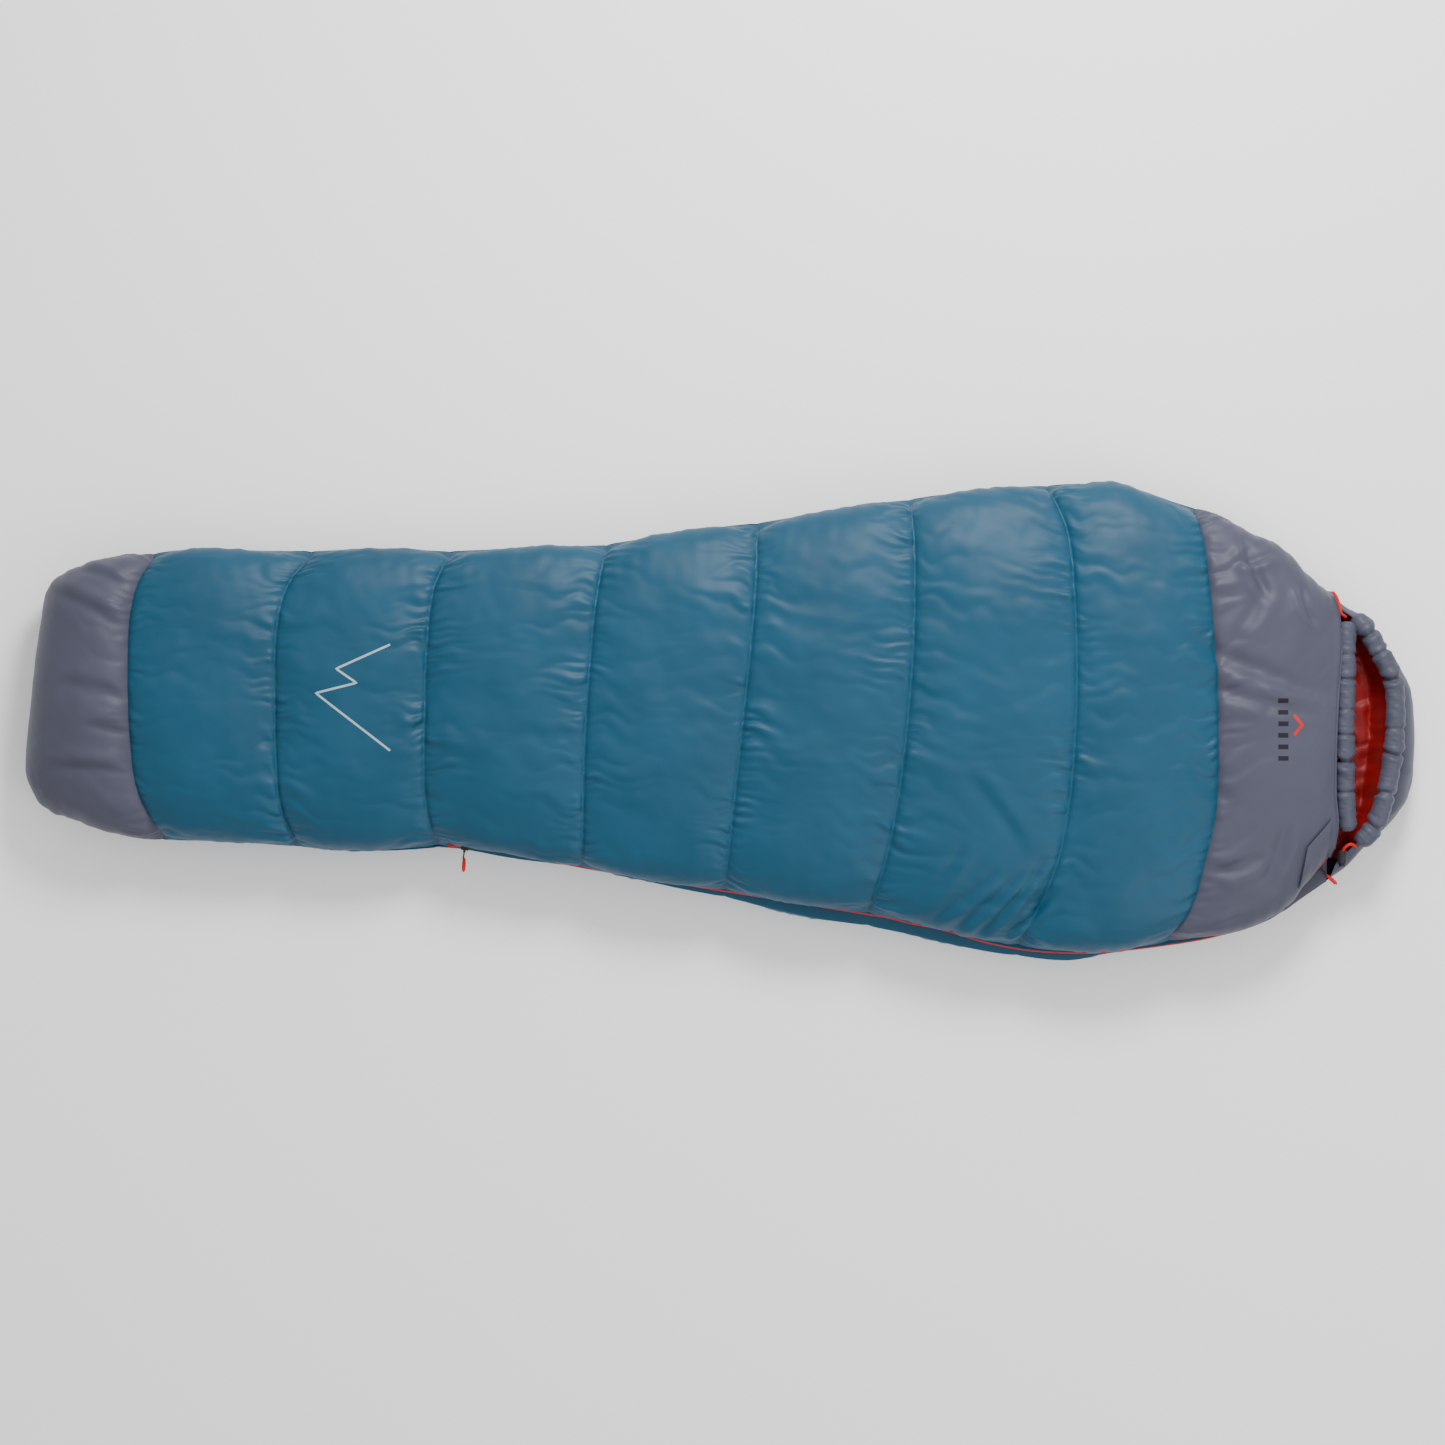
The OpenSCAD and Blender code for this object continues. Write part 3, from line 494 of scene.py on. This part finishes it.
floor_in = outline_s - out_dir * 6
centre = np.array([958.0, -20.0])
under_p = np.stack([np.concatenate([centre + (floor_in - centre) * t, np.full((N_HOOD, 1), 0.3)], 1)
                    for t in (1.0, 0.66, 0.33, 0.02)], 1)
hood_under = sheet_mesh("hood_floor", under_p, "base", flip=True)

# lining of the hood, from under the roll down to where the head lies
q_l = np.linspace(0, 1, 70)
target = np.stack([np.full(N_HOOD, 950.0), rim_s[:, 1] * 0.9], 1)
inner = rim_s[:, :2] - out_dir * 2
plan_l = inner[:, None] + (target - inner)[:, None] * q_l[None, :, None]
drop = step(q_l / 0.30)[None, :]
z_l = (rim_s[:, 2:3] - 14) * (1 - drop) + (46 + 8 * np.sin(math.pi * q_l)[None, :]) * drop
hood_in_p = np.concatenate([plan_l, z_l[..., None]], 2)
xs, ys = hood_in_p[..., 0], hood_in_p[..., 1]
wrinkle = 5.0 * (1.5 * np.abs(noise(ys / 23 + 0.3 * noise(xs / 30, ys / 40, 5), xs / 70, 81)) - 0.4)
wrinkle += 4.5 * (1.4 * np.abs(noise(ys / 62, xs / 46 + ys / 200, 82)) - 0.4) + 1.2 * noise(xs / 14, ys / 17, 83)
hood_in_p[..., 2] += wrinkle * step(q_l / 0.1)[None, :]
hood_lining = sheet_mesh("hood_lining", hood_in_p, "base")


def pinched(places, seed):
    """Detail for a padded roll: a few deep pinches and small gathers between them."""

    def detail(s, a):
        around = np.cos(a) * 0.8
        rise = np.sin(a) * 0.8
        d = (1.3 * noise(s / 30 + rise, around + 7, seed) + 1.0 * noise(s / 11 + around, rise, seed + 1)
             + 0.5 * noise(s / 5, around + rise, seed + 2))
        for at, deep, w, lean in places:
            off = s - at - lean * np.sin(a)
            shoulder = np.exp(-(((np.abs(off) - 2.4 * w) / (1.4 * w)) ** 2))
            d = d - deep * np.exp(-((off / w) ** 2)) + 0.35 * deep * shoulder
        return d

    return detail


roll_path = spline([(r[0], r[1], r[2]) for r in RIM[1:13]], 320)
roll_ends = np.minimum(1, np.minimum(np.arange(320), 319 - np.arange(320)) / 9) ** 0.5
hood_roll = tube("hood_roll", roll_path, ROLL_R * (0.45 + 0.55 * roll_ends), "base", 36, detail=pinched(
    [(34, 4.5, 4, 5), (70, 2.5, 3, 2), (112, 5.5, 4, 7), (196, 1.8, 3, 0), (232, 4.2, 3.5, 5),
     (300, 3.4, 3.5, -4), (352, 4.2, 4, 3)], 11))

chin_path = spline([(984, 158, 102), (982, 120, 106), (980, 60, 110), (979, 0, 111), (979, -55, 111),
                    (979, -105, 109), (982, -140, 106), (986, -170, 102)], 300)
chin_ends = np.minimum(1, np.minimum(np.arange(300), 299 - np.arange(300)) / 8) ** 0.5
chin_roll = tube("chin_roll", chin_path, 14.5 * (0.5 + 0.5 * chin_ends), "flap", 36, detail=pinched(
    [(50, 1.8, 3, 3), (88, 3.4, 3.2, 4), (140, 1.6, 3, -2), (176, 2.6, 3, 3), (216, 6.0, 5, 6),
     (266, 2.8, 3, 2)], 21))

edge_pts = yoke_p[len(yoke_cols) - 1]
along_neck = np.linspace(0, 1, 9)
inside_neck = [edge_pts[int(i)] for i in np.interp(along_neck, [0, 1], [18, 178])]
piping_path = spline([(p[0] + 6.5, p[1], p[2] - 6) for p in inside_neck], 200)
piping = tube("neck_piping", piping_path, 2.4, "flap", 12)

# ---------------------------------------------------------------- drawcord
cord_path = spline([(962, 205, 100), (966, 196, 111), (969, 184, 115), (972, 172, 113), (981, 166, 104)], 60)
draw_a = tube("drawcord_far", cord_path, 2.3, "base", 10,
              detail=lambda s, a: 0.25 * np.sin(s * 2.2 + 2 * a))
cord_b = spline([(1000, -196, 92), (992, -192, 100), (986, -192, 104), (980, -197, 99), (978, -203, 88)], 60)
draw_b = tube("drawcord_lock", cord_b, 2.3, "base", 10,
              detail=lambda s, a: 0.25 * np.sin(s * 2.2 + 2 * a))

# ---------------------------------------------------------------- zip
ZIP_MID = SEAM_Z + ZIP_SLIT / 2


def chain_y(x):
    """The chain runs inside the quilt's edge, and shows past it round the shoulder."""
    return zip_y(x) + 1.5 - 4.5 * step((x - 250) / 60) * step((880 - x) / 40)


def chain(x0, x1, z, n):
    x = np.linspace(x0, x1, n)
    return np.stack([x, chain_y(x), np.full(n, float(z))], 1)


def coil(name, x0, z, body):
    path = chain(x0, 954, z, int((954 - x0) / 0.75))
    return tube(name, path, 1.75, body, 8,
                detail=lambda s, a: 0.42 * np.sin(s * 2 * math.pi / 3.0) * np.ones_like(a))


coil_low = coil("zip_coil_low", -429, ZIP_MID - 2.6, "base")
coil_high = coil("zip_coil_high", -355, ZIP_MID + 2.6, None)


def tape(name, x0, body, rows):
    x = np.linspace(x0, 955, 420)
    loop = [(back, z, 0.0) for back, z in rows] + [(back, z, 0.7) for back, z in rows[::-1]]
    p = np.stack([np.stack([x, chain_y(x) + back + thick, np.full(420, z)], 1) for back, z, thick in loop], 1)
    return sheet_mesh(name, p, body, close=True)


tape_low = tape("zip_tape_low", -429, "base",
                [(0, ZIP_MID - 3.4), (0.3, ZIP_MID - 5), (1.5, 62.8), (6, 62.4)])
tape_high = tape("zip_tape_high", -355, None,
                 [(0, ZIP_MID + 3.4), (0.3, ZIP_MID + 5), (1.5, 75.2), (6, 75.6)])

# draft tube behind the zip
xd = np.linspace(-270, 820, 300)
draft_path = np.stack([xd, zip_y(xd) + 34, 86 + 4 * np.sin((xd + 270) / 1090 * math.pi)], 1)
draft = tube("draft_tube", draft_path, 9, None, 20, detail=pinched(
    [(x, 1.6, 4, 2) for x in range(60, 1100, 85)], 33))

# ---------------------------------------------------------------- things that lie on the yoke or legs
def bvh(*objs):
    verts, faces = [], []
    for o in objs:
        n = len(verts)
        verts += [tuple(v.co) for v in o.data.vertices]
        faces += [tuple(i + n for i in f.vertices) for f in o.data.polygons]
    return BVHTree.FromPolygons(verts, faces)


skin = bvh(top_teal, top_yoke)


BESIDE_SKIN_Z = 120.0  # the height used where a point falls just beside the skin


def lay(x, y, lift):
    """Height of the top quilt's skin over a plan position, plus a lift."""
    hit = skin.ray_cast(Vector((x * MM, y * MM, 0.4)), Vector((0, 0, -1)))
    return (hit[0].z / MM if hit[0] else BESIDE_SKIN_Z) + lift


def patch(name, corners, lift, thick, body, nu=24, nv=24, bulge=0.0, soften=0):
    """A flexible sheet over the skin. corners are two hinge points, then the two tip points."""
    a0, a1, b0, b1 = (np.array(c, float) for c in corners)
    z = np.zeros((nu, nv))
    plan_xy = np.zeros((nu, nv, 2))
    for i, s in enumerate(np.linspace(0, 1, nu)):
        for j, t in enumerate(np.linspace(0, 1, nv)):
            xy = (a0 * (1 - s) + a1 * s) * (1 - t) + (b0 * (1 - s) + b1 * s) * t
            plan_xy[i, j] = xy
            z[i, j] = lay(xy[0], xy[1], 0)
    for _ in range(soften):
        z[1:-1, 1:-1] = np.maximum(z[1:-1, 1:-1], (z[2:, 1:-1] + z[:-2, 1:-1] + z[1:-1, 2:] + z[1:-1, :-2]) / 4)
    s, t = np.linspace(0, 1, nu)[:, None], np.linspace(0, 1, nv)[None, :]
    z = z + lift + bulge * np.sin(math.pi * t) * np.ones_like(s)
    top = np.concatenate([plan_xy, (z + thick)[..., None]], 2)
    low = np.concatenate([plan_xy, z[..., None]], 2)
    rim_i = ([(i, 0) for i in range(nu)] + [(nu - 1, j) for j in range(1, nv)]
             + [(i, nv - 1) for i in range(nu - 2, -1, -1)] + [(0, j) for j in range(nv - 2, 0, -1)])
    verts = np.concatenate([top.reshape(-1, 3), low.reshape(-1, 3)])
    faces = grid_faces(nu, nv) + [tuple(nu * nv + q for q in f[::-1]) for f in grid_faces(nu, nv)]
    for a, b in zip(rim_i, rim_i[1:] + rim_i[:1]):
        i, j = a[0] * nv + a[1], b[0] * nv + b[1]
        faces.append((i, nu * nv + i, nu * nv + j, j))
    return mesh(name, verts, faces, body)


TAB = [(905, -262), (948, -212), (916, -196), (956, -152)]


def shrunk(corners, m):
    c = [np.array(p, float) for p in corners]
    mid = sum(c) / 4
    return [tuple(mid + (p - mid) * (1 - m)) for p in c]


loop_patch = patch("yoke_loop_patch", shrunk(TAB, 0.35), 0.2, 1.0, "flap", 12, 12)
hook_patch = patch("tab_hook_patch", shrunk(TAB, 0.3), 1.6, 1.0, "closure_tab", 12, 12)
tab = patch("closure_tab", TAB, 3.0, 2.2, "closure_tab", 30, 30, bulge=1.5, soften=6)


def ribbon(name, path, width, body, lift=0.35, blend=False):
    """A printed line on the skin: a thin strip that follows every pucker."""
    path = np.array(path, float)
    pts = [path[0]]
    for a, b in zip(path, path[1:]):
        n = max(2, int(np.linalg.norm(b - a) / 3))
        pts += [a + (b - a) * q / n for q in range(1, n + 1)]
    pts = np.array(pts)
    d = np.gradient(pts, axis=0)
    d /= np.linalg.norm(d, axis=1, keepdims=True)
    side = np.stack([-d[:, 1], d[:, 0]], 1)
    rows = []
    for off in np.linspace(-width / 2, width / 2, 4):
        xy = pts + side * off
        rows.append([(x, y, lay(x, y, lift)) for x, y in xy])
    p = np.array(rows)
    return sheet_mesh(name, p, None if blend else body, flip=True)


PEAK = [(-520, -44), (-636, 46), (-572, 62), (-604, 84), (-520, 122)]
print_mark = ribbon("print_mark", PEAK, 3.4, "base")

bars = [ribbon(f"yoke_bar_{i}", [(868, y), (884, y)], 7, "base", blend=True)
        for i, y in enumerate((34, 16, -2, -20, -38, -56))]
chevron = ribbon("yoke_chevron", [(893, 12), (906, -4), (893, -20)], 5, "base", blend=True)

# ---------------------------------------------------------------- pulls
def pull(name, at, angle, body):
    """A soft moulded grip that hangs from the slider's tab."""
    ly = [-17, -20, -28, -36, -39.5]
    w = [1.6, 2.6, 3.1, 2.9, 1.2]
    c, s = math.cos(angle), math.sin(angle)
    pts, rad = [], []
    for q in np.linspace(0, 1, 40):
        y = float(np.interp(q, np.linspace(0, 1, 5), ly))
        pts.append((at[0] - y * s, at[1] + y * c, at[2]))
        rad.append(float(smooth(list(zip(np.linspace(0, 1, 5), w)))(q)))
    return tube(name, pts, rad, body, 14, detail=lambda s_, a: 0.25 * np.sin(s_ * 2.6) - 0.9 * np.abs(np.sin(a)))


def slope(x):
    return math.atan2(float(zip_y(x + 5) - zip_y(x - 5)), 10)


lower_pull = pull("lower_pull_grip", (-408, float(zip_y(-408)), 66.4), slope(-408), "lower_pull")
upper_pull = pull("upper_pull_grip", (944, float(zip_y(944)), 66.4), slope(944), "upper_pull")

# ---------------------------------------------------------------- placement baked into the meshes that belong to no body
for o in [top_teal, top_yoke, top_lining, coil_high, tape_high, draft, *bars, chevron]:
    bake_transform(o)

# ---------------------------------------------------------------- what stands for what
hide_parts("top_shell", "flap_shell", "top_insulation", "flap_insulation")
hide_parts("yoke_strip", "flap_yoke")
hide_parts("top_lining", "flap_lining")
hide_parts("foot_shell", "foot_insulation", "foot_lining")
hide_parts("bottom_panel", "zip_side_wall", "far_side_wall", "bottom_insulation", "seam_strip")
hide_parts("bottom_lining")
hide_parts("hood_shell", "hood_insulation", "hood_floor_insulation")
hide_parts("hood_floor_panel")
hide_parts("hood_lining", "hood_floor_lining")
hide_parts("hood_rim_roll")
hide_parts("chin_roll")
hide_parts("neck_piping")
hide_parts("hood_drawcord")
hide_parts("zip_coil_base")
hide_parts("zip_coil_flap")
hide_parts("zip_tape_base")
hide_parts("zip_tape_flap")
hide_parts("draft_tube")
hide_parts("yoke_loop_patch")
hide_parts("tab_hook_patch")
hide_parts("closure_tab")
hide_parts("print_mark")
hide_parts("lower_pull_cord")
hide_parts("upper_pull_cord")

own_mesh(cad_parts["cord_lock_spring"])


# ---------------------------------------------------------------- materials
def srgb(r, g, b):
    return [((c / 255) / 12.92 if c / 255 <= 0.04045 else ((c / 255 + 0.055) / 1.055) ** 2.4)
            for c in (r, g, b)] + [1.0]


SHINE = 0.25  # half of Blender's own specular level


def material(name, colour, rough=0.6, sheen=0.0, metal=0.0, weave=0.0, spread=0.0, scale=900.0):
    m = bpy.data.materials.new(name)
    m.use_nodes = True
    t = m.node_tree
    b = t.nodes["Principled BSDF"]
    b.inputs["Base Color"].default_value = colour
    b.inputs["Roughness"].default_value = rough
    b.inputs["Metallic"].default_value = metal
    b.inputs["Sheen Weight"].default_value = sheen
    b.inputs["Sheen Roughness"].default_value = 0.45
    b.inputs["Specular IOR Level"].default_value = SHINE
    where = t.nodes.new("ShaderNodeTexCoord")
    if spread:
        n = t.nodes.new("ShaderNodeTexNoise")
        n.inputs["Scale"].default_value = 9.0
        n.inputs["Detail"].default_value = 5.0
        t.links.new(where.outputs["Object"], n.inputs["Vector"])
        ramp = t.nodes.new("ShaderNodeValToRGB")
        low = [c * (1 - spread) for c in colour[:3]] + [1.0]
        high = [min(1.0, c * (1 + spread)) for c in colour[:3]] + [1.0]
        ramp.color_ramp.elements[0].position = 0.35
        ramp.color_ramp.elements[1].position = 0.65
        ramp.color_ramp.elements[0].color = low
        ramp.color_ramp.elements[1].color = high
        t.links.new(n.outputs["Fac"], ramp.inputs["Fac"])
        t.links.new(ramp.outputs["Color"], b.inputs["Base Color"])
    if weave:
        n = t.nodes.new("ShaderNodeTexNoise")
        n.inputs["Scale"].default_value = scale
        n.inputs["Detail"].default_value = 2.0
        t.links.new(where.outputs["Object"], n.inputs["Vector"])
        bump = t.nodes.new("ShaderNodeBump")
        bump.inputs["Strength"].default_value = weave
        bump.inputs["Distance"].default_value = 0.0004
        t.links.new(n.outputs["Fac"], bump.inputs["Height"])
        t.links.new(bump.outputs["Normal"], b.inputs["Normal"])
    return m


teal = material("teal_shell", srgb(16, 66, 90), 0.5, 0.04, weave=0.25, spread=0.06)
grey = material("grey_shell", srgb(64, 65, 80), 0.5, 0.04, weave=0.25, spread=0.05)
dark = material("dark_shell", srgb(64, 66, 80), 0.5, 0.04, weave=0.25, spread=0.05)
red = material("red_lining", srgb(122, 10, 13), 0.5, 0.04, weave=0.2, spread=0.08)
pale = material("pale_print", srgb(150, 168, 176), 0.6)
tape_mat = material("zip_tape", srgb(12, 56, 76), 0.8, weave=0.4, scale=1600)
coil_mat = material("zip_coil", srgb(190, 22, 14), 0.4)
metal = material("slider_metal", srgb(44, 46, 50), 0.35, metal=0.6, spread=0.03)
grip = material("pull_cord", srgb(190, 22, 14), 0.5, spread=0.03)
cord_red = material("red_cord", srgb(190, 24, 16), 0.7, weave=0.5, scale=1400)
black = material("black_plastic", srgb(34, 35, 40), 0.4, spread=0.03)
steel = material("spring_steel", srgb(170, 170, 175), 0.3, metal=1.0, spread=0.03)
hook = material("hook_and_loop", srgb(32, 33, 38), 0.95, weave=1.0, scale=700)


def dress(mat, slot, *objs):
    for o in objs:
        o.data.materials.clear()
        o.data.materials.append(mat)


dress(teal, "teal_shell", top_teal, bottom_teal)
dress(grey, "grey_shell", top_yoke, foot_cap, bottom_grey, hood_dome, hood_under, piping, tab)
dress(dark, "dark_shell", hood_roll, chin_roll)
dress(red, "red_lining", top_lining, bottom_lining, hood_lining, draft)
dress(pale, "pale_print", print_mark)
dress(tape_mat, "zip_tape", tape_low, tape_high)
dress(coil_mat, "zip_coil", coil_low, coil_high)
dress(cord_red, "red_cord", draw_a, draw_b, chevron)
dress(hook, "hook_and_loop", loop_patch, hook_patch, *bars)
dress(grip, "pull_cord", lower_pull, upper_pull)
for nodes, mat, slot_name in (
    (("lower_slider_body", "upper_slider_body", "lower_pull_tab", "upper_pull_tab"), metal, "slider_metal"),
    (("cord_lock_barrel", "cord_lock_plunger"), black, "black_plastic"),
    (("cord_lock_spring",), steel, "spring_steel"),
    (("zip_bottom_stop", "zip_top_stop"), coil_mat, "zip_coil"),
):
    for n in nodes:
        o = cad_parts[n]
        o.data.materials.clear()
        o.data.materials.append(mat)

# ---------------------------------------------------------------- stage, light and camera
bpy.ops.mesh.primitive_plane_add(size=30, location=(0, 0, 0))
floor = bpy.context.object
floor.name = "floor"
floor.data.materials.append(material("floor", (0.92, 0.92, 0.92, 1), 0.9))

world = bpy.data.worlds.new("studio")
bpy.context.scene.world = world
world.use_nodes = True
world.node_tree.nodes["Background"].inputs["Color"].default_value = (1, 1, 1, 1)
world.node_tree.nodes["Background"].inputs["Strength"].default_value = 1.0


def area(name, place, aim, size, power):
    light = bpy.data.lights.new(name, "AREA")
    light.shape = "DISK"
    light.size = size
    light.energy = power
    o = bpy.data.objects.new(name, light)
    bpy.context.scene.collection.objects.link(o)
    o.location = place
    o.rotation_mode = "QUATERNION"
    o.rotation_quaternion = (Vector(aim) - Vector(place)).to_track_quat("-Z", "Y")


area("key", (0.7, 2.3, 2.3), (0.1, 0, 0), 1.1, 130)
area("fill", (2.2, -1.6, 2.6), (0, 0, 0), 2.0, 35)

SENSOR_MM = 36
CAMERA_Z = 6.0
SKIN_Z = 0.07  # the height at which the framing is set, in metres
VIEW_W = 2.287  # the width seen at that height, in metres
cam = bpy.data.cameras.new("camera")
cam.sensor_width = SENSOR_MM
cam.lens = SENSOR_MM * (CAMERA_Z - SKIN_Z) / VIEW_W
camera = bpy.data.objects.new("camera", cam)
camera.location = (0, 0, CAMERA_Z)
camera.rotation_euler = (0, 0, 0)
bpy.context.scene.collection.objects.link(camera)
bpy.context.scene.camera = camera
